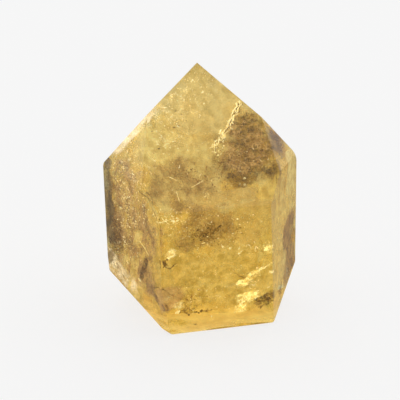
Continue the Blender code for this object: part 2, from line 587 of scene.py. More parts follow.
def grow_veins(name, veins, grit, material, seed, facing=TO_FRONT, scatter=0.5, drift=0.3):
    """All of these veins as one piece of splinters, strung along their routes."""
    rng = np.random.default_rng(seed)
    facing = unit(np.array([facing], dtype=float))
    all_points, all_ways = [], []
    for vein in veins:
        shares = rng.uniform(0.0, 1.0, vein.count)
        points, ways = along(vein.route, shares)
        width = vein.spread[0] + (vein.spread[1] - vein.spread[0]) * shares
        sideways = unit(np.cross(ways, facing))
        points = points + sideways * (rng.normal(size=vein.count) * width * MM)[:, None]
        points = points + facing * (rng.normal(size=vein.count) * 0.15 * MM)[:, None]
        inside = depth_inside(points) > SKIN
        all_points.append(points[inside])
        all_ways.append(ways[inside])
    points = np.concatenate(all_points)
    long_ways = unit(np.concatenate(all_ways) + rng.normal(size=points.shape) * drift)
    flat_ways = unit(facing + rng.normal(size=points.shape) * scatter)
    return splinters(name, points, flat_ways, long_ways, grit, material, rng)


def grow_chips(name, chips, material, seed, facing=TO_FRONT):
    """Single ragged splinters, each lying across the view from the front, turned up from level by its angle."""
    rng = np.random.default_rng(seed)
    facing = unit(np.array([facing], dtype=float))[0]
    level = unit(np.cross([(0.0, 0.0, 1.0)], facing))[0]
    upward = np.cross(facing, level)
    turns = np.radians([chip.turn for chip in chips])
    long_ways = np.cos(turns)[:, None] * level + np.sin(turns)[:, None] * upward
    points = np.array([chip.place for chip in chips]) * MM
    lengths = np.array([chip.length for chip in chips])
    heights = np.array([chip.height for chip in chips])
    flat_ways = unit(facing + rng.normal(size=points.shape) * 0.2)
    size = np.sqrt(lengths * heights) * 1.2 * MM
    piece = flakes(name, points, flat_ways, long_ways, size, lengths / heights, 0.06, 11, rng)
    piece.data.materials.append(material)
    return piece


def grow_ribbons(name, ribbons, material, seed, facing=TO_FRONT):
    """Thin crack edges as one piece: each a flat, ragged strand that follows its route and sways about it."""
    rng = np.random.default_rng(seed)
    facing = unit(np.array([facing], dtype=float))
    corners, triangles = [], []
    made = 0
    for ribbon in ribbons:
        length = np.linalg.norm(np.diff(np.array(ribbon.route), axis=0), axis=1).sum()
        rings = max(6, round(length / RIBBON_STEP))
        shares = np.linspace(0.0, 1.0, rings)
        points, ways = along(ribbon.route, shares)
        sideways = unit(np.cross(ways, facing))
        turns = shares * length / ribbon.wave * 2.0 * math.pi + ribbon.phase
        sway = np.sin(turns) * ribbon.sway + rng.normal(size=rings) * ribbon.ragged
        middle = points + sideways * (sway * MM)[:, None]
        taper = np.minimum(1.0, np.minimum(shares, 1.0 - shares) * length / 0.8 + 0.05)
        width = (ribbon.first + (ribbon.last - ribbon.first) * shares) * rng.uniform(0.45, 1.25, rings) * taper
        half = sideways * (width * 0.5 * MM)[:, None]
        lift = facing * 0.05 * MM * taper[:, None]
        corners.append(np.stack([middle - half, middle + lift, middle + half, middle - lift], axis=1).reshape(-1, 3))
        ring = np.arange(rings - 1)[:, None] * 4 + made
        side = np.arange(4)[None, :]
        after = (side + 1) % 4
        triangles.append(np.stack([ring + side, ring + 4 + side, ring + 4 + after], axis=2).reshape(-1, 3))
        triangles.append(np.stack([ring + side, ring + 4 + after, ring + after], axis=2).reshape(-1, 3))
        last = made + (rings - 1) * 4
        triangles.append(np.array([(made, made + 1, made + 2), (made, made + 2, made + 3)]))
        triangles.append(np.array([(last, last + 2, last + 1), (last, last + 3, last + 2)]))
        made += rings * 4
    piece = mesh_piece(name, np.concatenate(corners), np.concatenate(triangles))
    piece.data.materials.append(material)
    return piece


# ---------------------------------------------------------------- operators


class CITRINE_OT_polish(bpy.types.Operator):
    """Gives the stone its colour and its polished skin"""

    bl_idname = "citrine.polish"
    bl_label = "Polish the stone"

    def execute(self, context):
        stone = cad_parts[STONE]
        stone.data.materials.clear()
        stone.data.materials.append(polished_citrine(context.scene.citrine_stone))
        return {"FINISHED"}


class CITRINE_OT_grain(bpy.types.Operator):
    """Fills the stone with fine grain, which makes it a little milky"""

    bl_idname = "citrine.grain"
    bl_label = "Grow the fine grain"

    def execute(self, context):
        clouds = [
            Cloud((-1.0, 0.0, 42.0), (24.0, 20.0, 20.0), (0, 0, 0), 6000),
            Cloud((0.0, 0.0, 18.0), (26.0, 20.0, 20.0), (0, 0, 0), 6000),
            Cloud((-1.0, 8.0, 57.0), (6.0, 6.0, 8.0), (0, 0, 0), 1500),
        ]
        grit = Grit(0.22, 0.80, 2.0, 0.08, 3)
        finish = splinter_finish("pale_grain", see_colour(228, 212, 140), see_colour(198, 174, 102), 0.46)
        grow_clouds("fine_grain", clouds, grit, finish, seed=11, spacing=7.0, sharpness=0.4)
        return {"FINISHED"}


class CITRINE_OT_veils(bpy.types.Operator):
    """Grows the healed cracks that hang in the stone like veils"""

    bl_idname = "citrine.veils"
    bl_label = "Grow the veils"

    def execute(self, context):
        gold = see_colour(231, 214, 140), see_colour(203, 180, 105)
        straw = see_colour(242, 223, 152), see_colour(222, 197, 126)
        amber = see_colour(218, 190, 110), see_colour(198, 168, 90)
        buff = see_colour(216, 180, 116), see_colour(190, 152, 90)
        honey = see_colour(234, 212, 136), see_colour(196, 171, 88)
        # Cream is painted light: the colour of the painted reflection at the shoulder and of the glint at the lower
        # left edge.
        cream_highlight = see_colour(255, 244, 218), see_colour(240, 222, 182)
        wheat = see_colour(228, 209, 138), see_colour(207, 185, 111)
        # Dark is the colour of the painted shade along the left rim.
        dark = see_colour(150, 124, 76), see_colour(104, 82, 46)
        even = (1.0, 1.0, 1.0)
        upright = (1.0, 1.0, 0.6)
        sheets = {
            "veil_tip": (
                Sheet((-1.0, 5.2, 55.3), LARGE_FRONT, 38.0, 32.0, 0.2, 0.2),
                Lace(*wheat, 0.41, 0.55, 0.35, 0.15, 6.0, 0.7, even),
            ),
            "veil_crest": (
                Sheet((8.0, 6.8, 50.6), LARGE_FRONT, 26.0, 22.0, 0.6, 0.4),
                Lace(*straw, 0.44, 0.45, 0.4, 0.2, 7.0, 0.5, even),
            ),
            "veil_upper": (
                Sheet((-4.0, -4.0, 43.8), LARGE_FRONT, 42.0, 36.0, 0.6, 0.6),
                Lace(*gold, 0.46, 0.7, 0.25, 0.25, 6.0, 0.7, even),
            ),
            "veil_middle": (
                Sheet((0.0, -4.0, 30.0), (0.15, -0.98, 0.2), 46.0, 44.0, -2.0, 1.6),
                Lace(*gold, 0.48, 0.7, 0.25, 0.25, 6.0, 0.7, even),
            ),
            "veil_lower": (
                Sheet((0.5, -6.5, 13.0), (0.1, -0.95, -0.2), 52.0, 38.0, 1.0, 1.0),
                Lace(*honey, 0.48, 0.5, 0.45, 0.3, 5.0, 0.7, even),
            ),
            "veil_foot": (
                Sheet((2.0, -2.0, 1.6), (0.05, -0.1, 1.0), 44.0, 38.0, 0.3, 0.3),
                Lace(*straw, 0.50, 0.55, 0.4, 0.0, 14.0, 2.5, even),
            ),
            "veil_left": (
                Sheet((-15.0, -3.0, 28.0), (-0.75, -0.65, 0.0), 30.0, 46.0, 1.5, 1.2),
                Lace(*gold, 0.42, 0.15, 0.6, 0.4, 5.0, 0.5, upright),
            ),
            "veil_right": (
                Sheet((16.5, 0.5, 21.0), (0.85, -0.4, 0.1), 24.0, 34.0, 1.0, 0.8),
                Lace(*gold, 0.48, 0.25, 0.6, 0.4, 5.0, 0.55, upright),
            ),
            "veil_back": (
                Sheet((2.0, 9.0, 26.0), (0.2, 0.97, 0.1), 40.0, 46.0, -2.0, 1.8),
                Lace(*gold, 0.45, 0.1, 0.6, 0.4, 8.0, 0.6, even),
            ),
            "veil_cross": (
                Sheet((2.0, 4.0, 22.0), (0.5, -0.3, 0.8), 40.0, 34.0, 2.0, 1.8),
                Lace(*gold, 0.45, 0.1, 0.55, 0.3, 6.0, 0.6, even),
            ),
            # Partly pale mist and partly a painted highlight: the bright glint at the lower left edge, spread along the
            # taper.
            "mist_and_edge_glint": (
                Sheet((-19.6, -4.9, 11.4), (-0.74, -0.64, -0.2), 16.0, 8.0, 0.2, 0.2, -30.0),
                Lace(*cream_highlight, 0.44, 0.1, 0.5, 0.4, 3.0, 0.8, even, 2.0),
            ),
            # Painted reflection: a pale, glowing cream sheet under the upper left shoulder stands for the bright band
            # that the faces there throw back.
            "shoulder_painted_reflection": (
                Sheet((-15.1, 2.4, 49.5), (-0.62, -0.3, 0.72), 13.2, 28.0, 0.3, 0.1),
                Lace(*cream_highlight, 0.54, 0.5, 0.4, 0.2, 6.0, 0.6, even),
            ),
            "veil_band": (
                Sheet((21.9, 2.6, 33.5), (0.93, -0.37, 0.0), 9.0, 26.0, 0.2, 0.2),
                Lace(*gold, 0.46, 0.3, 0.5, 0.3, 5.0, 0.5, upright),
            ),
            "veil_warm": (
                Sheet((8.5, -11.2, 32.5), FRONT_SIDE, 26.0, 24.0, 0.3, 0.3),
                Lace(*amber, 0.47, 0.35, 0.3, 0.2, 6.0, 0.7, even),
            ),
            "veil_tan": (
                Sheet((-8.6, -16.4, 9.8), FRONT_SIDE, 11.0, 12.0, 0.2, 0.1, 20.0),
                Lace(*buff, 0.46, 0.4, 0.3, 0.2, 4.0, 0.7, even),
            ),
            "veil_back_skin": (
                Sheet((0.0, 17.6, 26.0), BACK_SIDE, 36.0, 44.0, 0.3, 0.3, 20.0),
                Lace(*straw, 0.44, 0.0, 0.55, 0.25, 9.0, 0.9, even),
            ),
            "veil_back_left": (
                Sheet((-16.5, 9.5, 30.0), (-0.94, 0.34, 0.0), 24.0, 44.0, 0.4, 0.3),
                Lace(*gold, 0.44, 0.1, 0.55, 0.4, 7.0, 0.8, upright),
            ),
            "veil_back_right": (
                Sheet((17.0, 10.5, 22.0), (0.643, 0.766, 0.0), 24.0, 38.0, 0.4, 0.3),
                Lace(*gold, 0.44, 0.1, 0.55, 0.4, 7.0, 0.8, upright),
            ),
            # Painted shade: a dark sheet just under the left rim darkens the stone along its left edge.
            "left_rim_painted_shade": (
                Sheet((-22.9, -2.7, 29.0), (-0.86, -0.51, 0.0), 7.5, 42.0, 0.1, 0.1),
                Lace(*dark, 0.36, 0.4, 0.5, 0.2, 5.0, 0.6, upright),
            ),
        }
        open_to_left = ("veil_tip", "veil_upper", "veil_middle")
        for number, (name, (sheet, lace)) in enumerate(sheets.items()):
            soft_at = SMALL_FRONT_LEFT if name in open_to_left else None
            grow_sheet(name, sheet, veil_finish(name, lace, number + 1), seed=70 + number, soft_at=soft_at)
        return {"FINISHED"}


class CITRINE_OT_sparkles(bpy.types.Operator):
    """Grows the bright splinters, whose sparkle is a painted highlight of pale colour and glow"""

    bl_idname = "citrine.sparkles"
    bl_label = "Grow the sparkles"

    def execute(self, context):
        clouds = [
            Cloud((-3.0, 4.4, 56.6), (8.0, 1.4, 8.0), (-43, 0, 0), 380),
            Cloud((-7.0, -0.8, 52.4), (10.0, 1.4, 7.0), (-43, 0, 0), 380),
            Cloud((-3.0, -5.0, 46.6), (12.0, 1.4, 7.0), (-43, 0, 0), 200),
            Cloud((-17.0, -8.4, 34.0), (8.0, 1.4, 10.0), (0, 0, -49), 640),
            Cloud((-18.3, -7.3, 20.0), (5.0, 1.2, 8.0), (0, 0, -49), 260),
            Cloud((-17.0, -5.5, 42.0), (7.0, 1.5, 5.0), (-35, 0, -49), 330),
            Cloud((-8.0, -15.0, 31.5), (3.0, 2.0, 1.2), (0, 0, 0), 50),
            Cloud((12.0, -12.0, 21.5), (7.0, 2.0, 1.5), (0, 0, 0), 70),
            Cloud((2.0, -11.0, 30.0), (12.0, 4.0, 9.0), (0, 0, 0), 500),
            Cloud((13.0, -4.0, 42.0), (5.0, 4.0, 6.0), (0, 0, 0), 90),
            Cloud((14.0, -11.5, 11.0), (4.0, 2.0, 4.0), (0, 0, 0), 70),
            Cloud((0.0, -14.0, 9.0), (8.0, 3.0, 4.0), (0, 0, 0), 90),
            Cloud((6.0, 12.0, 30.0), (12.0, 6.0, 14.0), (0, 0, 0), 300),
            Cloud((-12.0, 8.0, 24.0), (8.0, 6.0, 12.0), (0, 0, 0), 200),
            Cloud((2.0, 17.8, 26.0), (11.0, 1.6, 16.0), (0, 0, 12), 420),
            Cloud((-6.0, 8.0, 50.0), (8.0, 5.0, 5.0), (0, 0, 0), 160),
            Cloud((0.0, -3.0, 30.0), (20.0, 14.0, 28.0), (0, 0, 0), 2200),
        ]
        settings = context.scene.citrine_growth
        many = settings.sparkle_amount
        grit = Grit(0.15, settings.sparkle_size / MM, 5.0, 0.07, 4)
        # Painted highlights: pale colour and glow stand for the light that the splinters and streaks throw back.
        finish = splinter_finish("sparkle", (*settings.sparkle_colour, 1.0), see_colour(240, 212, 140), 0.8, 0.2)
        grow_clouds("sparkles", clouds, grit, finish, 23, spacing=5.0, sharpness=0.3, scatter=0.8, amount=many)
        dust = [
            Cloud((0.3, 4.9, 56.0), (3.4, 0.4, 6.5), (-43, 0, 0), 210),
            Cloud((-2.5, 2.6, 54.3), (5.0, 0.4, 4.0), (-43, 0, 0), 130),
            Cloud((-7.5, -0.6, 52.0), (6.0, 0.4, 4.5), (-43, 0, 0), 170),
            Cloud((-9.5, -4.5, 48.5), (5.5, 0.4, 4.5), (-43, 0, 0), 150),
            Cloud((1.0, -4.0, 47.0), (8.0, 0.4, 4.0), (-43, 0, 0), 70),
            Cloud((-18.2, -7.6, 35.0), (5.5, 0.4, 9.0), (0, 0, -49), 260),
            Cloud((-17.8, -7.4, 22.0), (5.5, 0.4, 7.0), (0, 0, -49), 120),
            Cloud((-1.0, -15.8, 28.0), (10.0, 0.5, 8.0), (0, 0, 13), 200),
            Cloud((4.0, -14.6, 12.0), (12.0, 0.5, 7.0), (0, 0, 13), 170),
        ]
        fine = Grit(0.14, 0.42, 3.0, 0.08, 4)
        grow_clouds("fine_sparkles", dust, fine, finish, 29, spacing=3.0, sharpness=0.7, scatter=0.8, amount=many)
        layers = [
            Vein([(-10.0, 0.9, 54.4), (-5.0, 1.6, 54.0), (0.0, 1.5, 53.0)], 34, (1.0, 1.0)),
            Vein([(-11.0, -4.0, 49.6), (-6.0, -2.0, 50.4), (-1.0, -1.8, 49.6)], 34, (1.4, 1.0)),
            Vein([(-10.0, -6.0, 47.0), (-3.0, -5.0, 46.8), (2.0, -4.0, 46.6)], 26, (0.8, 0.8)),
            Vein([(-6.0, -15.6, 32.4), (2.0, -14.2, 32.0)], 22, (1.4, 1.4)),
        ]
        thread = splinter_finish("streak", see_colour(246, 226, 162), see_colour(214, 184, 116), 0.62, 0.3)
        grow_veins("fine_streaks", layers, Grit(0.25, 1.0, 14.0, 0.09, 4), thread, seed=31, drift=0.18)
        return {"FINISHED"}


class CITRINE_OT_smoke(bpy.types.Operator):
    """Grows the smoky brown clouds"""

    bl_idname = "citrine.smoke"
    bl_label = "Grow the smoky clouds"

    def execute(self, context):
        clouds = [
            Cloud((11.0, -2.5, 42.5), (6.5, 3.5, 6.5), (0, 0, 0), 3000),
            Cloud((11.6, -2.8, 45.0), (6.5, 0.5, 8.0), (-43, 0, 0), 1100),
            Cloud((8.0, -6.2, 42.0), (4.0, 0.5, 4.0), (-43, 0, 0), 600),
            Cloud((7.0, -5.0, 41.5), (3.0, 2.0, 3.0), (0, 0, 0), 1200),
            Cloud((19.0, 3.5, 44.0), (2.2, 2.5, 3.5), (0, 0, 0), 1200),
            Cloud((-1.0, -9.5, 37.5), (9.0, 3.0, 5.0), (0, 0, 0), 2200),
            Cloud((-20.5, -3.5, 27.0), (1.6, 3.0, 12.0), (0, 0, 0), 2000),
            Cloud((-15.5, -8.0, 20.0), (4.0, 3.0, 7.0), (0, 0, 0), 1000),
            Cloud((2.0, -13.0, 26.5), (7.0, 2.0, 3.0), (0, 0, 0), 1200),
            Cloud((22.0, 2.0, 18.0), (2.0, 3.0, 8.0), (0, 0, 0), 1000),
            Cloud((-5.0, -13.0, 9.0), (6.0, 3.0, 3.0), (0, 0, 0), 700),
            Cloud((4.0, 11.0, 24.0), (10.0, 5.0, 10.0), (0, 0, 0), 2000),
        ]
        grit = Grit(0.16, 0.75, 2.5, 0.10, 4)
        finish = splinter_finish("smoke", see_colour(182, 142, 66), see_colour(124, 88, 34), 0.42, 0.5)
        settings = context.scene.citrine_growth
        many = settings.smoke_amount
        grow_clouds("smoky_clouds", clouds, grit, finish, 37, spacing=3.5, sharpness=0.3, amount=many)
        brown = (*settings.smoke_pale, 1.0), (*settings.smoke_deep, 1.0)
        tan = see_colour(212, 176, 108), see_colour(176, 138, 74)
        umber = see_colour(192, 152, 78), see_colour(140, 102, 44)
        mauve = see_colour(200, 165, 112), see_colour(144, 112, 72)
        haze = see_colour(184, 150, 80), see_colour(148, 115, 52)
        plum = see_colour(140, 107, 58), see_colour(92, 67, 30)
        even = (1.0, 1.0, 1.0)
        upright = (1.0, 1.0, 0.55)
        sheets = {
            "smoke_right": (
                Sheet((12.6, -2.3, 44.9), LARGE_FRONT, 22.0, 23.0, 0.2, 0.2),
                Lace(*brown, 0.34, 0.05, 0.8, 0.4, 4.0, 0.5, even),
            ),
            "smoke_right_deep": (
                Sheet((12.6, -1.2, 44.3), LARGE_FRONT, 23.0, 22.0, 0.3, 0.3),
                Lace(*brown, 0.34, 0.1, 0.75, 0.4, 5.0, 0.6, even),
            ),
            "smoke_curls": (
                Sheet((12.4, -2.6, 45.0), LARGE_FRONT, 17.0, 16.0, 0.1, 0.1),
                Lace(*tan, 0.58, 0.0, 0.15, 0.6, 4.2, 0.4, even),
            ),
            "smoke_shoulder": (
                Sheet((19.0, 2.9, 45.0), (0.757, -0.314, 0.574), 9.0, 11.0, 0.2, 0.1),
                Lace(*plum, 0.34, 0.0, 0.75, 0.3, 4.0, 0.6, even, 1.4),
            ),
            "smoke_plum": (
                Sheet((-21.2, -3.2, 19.0), (-0.755, -0.656, -0.035), 9.0, 15.0, 0.1, 0.1),
                Lace(*plum, 0.40, 0.2, 0.6, 0.3, 4.0, 0.6, even),
            ),
            "smoke_centre": (
                Sheet((-3.6, -11.8, 38.5), LARGE_FRONT, 21.0, 17.0, 0.2, 0.2),
                Lace(*haze, 0.48, 0.1, 0.55, 0.3, 5.0, 0.5, even),
            ),
            "smoke_left": (
                Sheet((-16.7, -7.0, 25.0), (-0.755, -0.656, -0.035), 25.0, 46.0, 0.2, 0.3),
                Lace(*mauve, 0.44, 0.10, 0.6, 0.5, 4.0, 0.45, upright),
            ),
            "smoke_band": (
                Sheet((0.0, -14.4, 28.5), (0.23, -0.97, 0.05), 19.0, 13.0, 0.4, 0.3),
                Lace(*haze, 0.48, 0.05, 0.6, 0.3, 5.0, 0.45, even),
            ),
            "smoke_back": (
                Sheet((5.0, 15.6, 31.0), (-0.2, 0.97, 0.1), 22.0, 20.0, 1.0, 1.0, 30.0),
                Lace(*haze, 0.46, 0.0, 0.6, 0.4, 5.0, 0.8, even),
            ),
            "smoke_edge": (
                Sheet((21.8, 0.5, 15.0), (0.93, -0.37, 0.0), 10.0, 28.0, 0.2, 0.2),
                Lace(*umber, 0.32, 0.35, 0.6, 0.3, 5.0, 0.45, upright),
            ),
        }
        for number, (name, (sheet, lace)) in enumerate(sheets.items()):
            grow_sheet(name, sheet, veil_finish(name, lace, number + 21), seed=90 + number, soft_at=ALL_FACES)
        return {"FINISHED"}


class CITRINE_OT_specks(bpy.types.Operator):
    """Grows the small dark specks"""

    bl_idname = "citrine.specks"
    bl_label = "Grow the dark specks"

    def execute(self, context):
        clouds = [
            Cloud((0.5, -14.0, 26.5), (3.0, 1.5, 2.0), (0, 0, 0), 160),
            Cloud((-3.0, -14.0, 6.0), (3.5, 1.5, 1.0), (0, 0, 0), 60),
            Cloud((15.8, -11.0, 6.8), (2.2, 1.2, 0.9), (0, 0, 0), 160),
            Cloud((19.0, -5.5, 7.5), (1.0, 1.0, 1.5), (0, 0, 0), 50),
            Cloud((-6.0, -1.0, 50.5), (3.0, 2.0, 3.0), (0, 0, 0), 30),
            Cloud((0.0, 0.0, 30.0), (18.0, 14.0, 20.0), (0, 0, 0), 300),
        ]
        grit = Grit(0.15, 0.60, 2.5, 0.12, 5)
        finish = splinter_finish("dark_speck", see_colour(112, 86, 44), see_colour(70, 50, 24), 0.3, 0.5)
        grow_clouds("dark_specks", clouds, grit, finish, seed=41, spacing=3.0, sharpness=0.5)
        return {"FINISHED"}


class CITRINE_OT_cracks(bpy.types.Operator):
    """Breaks the open cracks, whose shine is a painted highlight, and lays dark seams and painted shade beside them"""

    bl_idname = "citrine.cracks"
    bl_label = "Open the cracks"

    def execute(self, context):
        settings = context.scene.citrine_growth
        wide = settings.crack_width / MM
        # Painted highlight: the pale colour and strong glow of the bright cracks and shards stand for light that their
        # faces throw back.
        shine = splinter_finish(
            "crack_face_highlight", (*settings.crack_highlight_colour, 1.0), see_colour(232, 206, 124), 0.85, 0.2, 0.4
        )
        # Dark seams: partly dark lines in the stone, and partly painted shade along the bright crack.
        seam_and_shade = splinter_finish("dark_seam_and_crack_shade", see_colour(140, 108, 56), see_colour(98, 72, 36), 0.42)
        upper = [(10.1, 5.2, 53.7), (8.9, 3.2, 51.9), (8.0, 1.7, 50.6), (7.0, -0.3, 48.7), (5.2, -2.1, 47.2)]
        lower = [(5.2, -2.1, 47.2), (4.0, -3.8, 45.8), (3.2, -5.6, 44.2)]
        left_strand = [(x - 0.5, y, z) for x, y, z in upper]
        right_strand = [(x + 0.3, y, z - 0.2) for x, y, z in upper]
        bright = [
            Ribbon(left_strand, wide, 0.26, 0.16, 2.9, 0.0, 0.16),
            Ribbon(right_strand, wide * 0.9, 0.24, 0.18, 2.4, 2.6, 0.16),
            Ribbon(upper, 0.16, 0.10, 0.45, 1.5, 1.2, 0.18),
            Ribbon(lower, 0.26, 0.14, 0.20, 2.6, 0.5, 0.12),
            Ribbon([(4.7, -2.1, 47.2), (3.4, -3.8, 45.8), (2.3, -5.2, 44.7)], 0.24, 0.10, 0.25, 2.3, 3.4, 0.12),
            Ribbon([(-15.0, -12.2, 24.0), (-13.0, -13.4, 21.9), (-12.2, -15.0, 20.5)], 0.22, 0.12, 0.0, 9.0, 0.0, 0.03),
            Ribbon([(11.7, -12.4, 13.7), (14.0, -12.0, 14.8), (17.7, -11.0, 16.9)], 0.40, 0.12, 0.05, 5.0, 0.0, 0.05),
            Ribbon([(-8.0, -11.4, 40.6), (-5.5, -11.8, 39.5)], 0.14, 0.14, 0.0, 9.0, 0.0, 0.02),
            Ribbon([(-2.5, -12.4, 37.8), (0.9, -10.6, 39.2)], 0.10, 0.10, 0.0, 9.0, 0.0, 0.02),
            Ribbon([(-6.0, -13.4, 37.8), (-5.0, -15.4, 35.2)], 0.12, 0.12, 0.0, 9.0, 0.0, 0.02),
            Ribbon([(-13.0, 13.0, 43.5), (-10.0, 15.5, 38.0), (-10.4, 15.9, 32.0)], 0.34, 0.16, 0.30, 3.1, 0.0, 0.14),
            Ribbon([(-12.6, 13.2, 43.5), (-9.7, 15.6, 38.0), (-10.0, 16.0, 32.5)], 0.24, 0.12, 0.36, 2.3, 2.0, 0.16),
            Ribbon([(13.0, 13.0, 24.0), (10.0, 16.0, 19.0), (8.8, 16.6, 16.0)], 0.16, 0.10, 0.10, 5.0, 0.0, 0.05),
            Ribbon([(-9.8, -17.9, 31.7), (-6.0, -17.0, 32.2)], 0.22, 0.10, 0.1, 4.0, 0.0, 0.04),
            Ribbon([(-9.6, -17.8, 33.0), (-7.5, -17.2, 30.4)], 0.20, 0.10, 0.1, 4.0, 0.0, 0.04),
        ]
        nail = 0.42, 0.18, 0.06, 5.0, 0.0, 0.05
        dark = [
            # Painted shade: these two dark strands run beside the bright upper crack, where its shadow falls.
            Ribbon([(x - 0.05, y + 0.1, z) for x, y, z in upper], 0.42, 0.22, 0.15, 2.1, 0.6, 0.14),
            Ribbon([(x + 0.75, y, z) for x, y, z in upper[:4]], 0.20, 0.12, 0.20, 1.7, 1.0, 0.12),
            Ribbon([(-12.2, -14.0, 19.8), (-13.0, -13.0, 16.8), (-14.5, -11.1, 12.7)], 0.30, 0.75, 0.1, 5.0, 0.0, 0.10),
            Ribbon([(-12.2, -13.6, 11.6), (-9.8, -16.9, 12.9), (-4.6, -16.2, 9.0)], 0.18, 0.14, 0.1, 6.0, 0.0, 0.05),
            Ribbon([(-12.0, -13.8, 10.6), (-10.2, -15.2, 8.9), (-8.6, -17.0, 7.4)], 0.15, 0.35, 0.1, 5.0, 0.0, 0.10),
            Ribbon([(-9.3, -18.0, 21.3), (-8.9, -17.8, 19.4), (-7.5, -17.5, 18.4), (-6.0, -17.2, 20.2)], *nail),
            Ribbon([(8.4, -13.2, 15.6), (11.9, -12.4, 12.6)], 0.12, 0.35, 0.1, 5.0, 0.0, 0.08),
            Ribbon([(16.3, 0.6, 46.1), (18.8, -4.0, 40.3), (18.9, -6.0, 32.2)], 0.12, 0.14, 0.1, 6.0, 0.0, 0.04),
            Ribbon(
                [(-14.6, -12.3, 37.7), (-12.1, -15.1, 36.8), (-10.9, -17.3, 34.1), (-9.6, -17.7, 31.5)],
                0.30, 0.12, 0.1, 5.0, 0.0, 0.05,
            ),
        ]
        grow_ribbons("bright_cracks", bright, shine, seed=53)
        grow_ribbons("dark_seams_and_crack_shade", dark, seam_and_shade, seed=59)
        shards = [
            Vein(upper, 44, (0.60, 0.45)),
            Vein(lower, 34, (0.45, 1.10)),
            Vein([(11.9, -12.5, 13.9), (17.8, -11.0, 17.0)], 24, (0.35, 0.12)),
            Vein([(9.8, -12.9, 6.8), (12.2, -12.4, 7.3), (14.8, -12.0, 8.6)], 60, (0.75, 0.55)),
            Vein([(9.8, -12.9, 5.0), (11.2, -12.6, 5.2)], 24, (0.30, 0.20)),
            Vein([(9.4, -12.9, 12.3), (12.0, -12.5, 11.9)], 34, (0.30, 0.20)),
            Vein([(-8.4, -17.0, 21.4), (-6.4, -16.6, 23.1)], 12, (0.40, 0.35)),
            Vein([(15.8, -11.6, 21.6), (18.2, -11.2, 21.6)], 16, (0.60, 0.60)),
            Vein([(-10.0, -17.7, 31.4), (-5.6, -16.8, 31.6)], 14, (0.40, 0.30)),
            Vein([(-10.0, 15.6, 38.0), (-10.4, 15.9, 32.0), (-8.5, 16.6, 27.0)], 60, (0.35, 0.80)),
        ]
        grow_veins("crack_shards", shards, Grit(0.30, 1.1, 2.4, 0.07, 5), shine, seed=61)
        bruise = splinter_finish("bruise", see_colour(164, 128, 60), see_colour(118, 88, 38), 0.48, 0.5, 0.6)
        bruises = [
            Vein([(14.6, -11.9, 6.2), (16.3, -11.5, 6.6), (18.6, -10.9, 7.8)], 70, (0.5, 0.7)),
            Vein([(19.8, -5.6, 6.2), (20.2, -5.2, 8.6)], 40, (0.4, 0.3)),
            Vein([(-9.0, -17.5, 20.9), (-8.6, -17.4, 19.2)], 50, (0.25, 0.25)),
            Vein([(-1.6, -16.0, 27.6), (1.6, -15.4, 26.0), (4.0, -14.8, 28.6)], 150, (0.8, 0.6)),
            Vein([(-5.2, -16.3, 5.8), (-2.6, -15.9, 5.2), (3.0, -14.8, 5.6)], 40, (0.3, 0.2)),
        ]
        grow_veins("bruises", bruises, Grit(0.25, 0.9, 2.0, 0.08, 6), bruise, seed=79)
        shining = see_colour(255, 244, 170), see_colour(226, 190, 92)
        pearly = see_colour(255, 244, 186), see_colour(222, 192, 108)
        dusky = see_colour(150, 114, 54), see_colour(96, 70, 32)
        plum = see_colour(150, 118, 80), see_colour(104, 78, 54)
        even = (1.0, 1.0, 1.0)
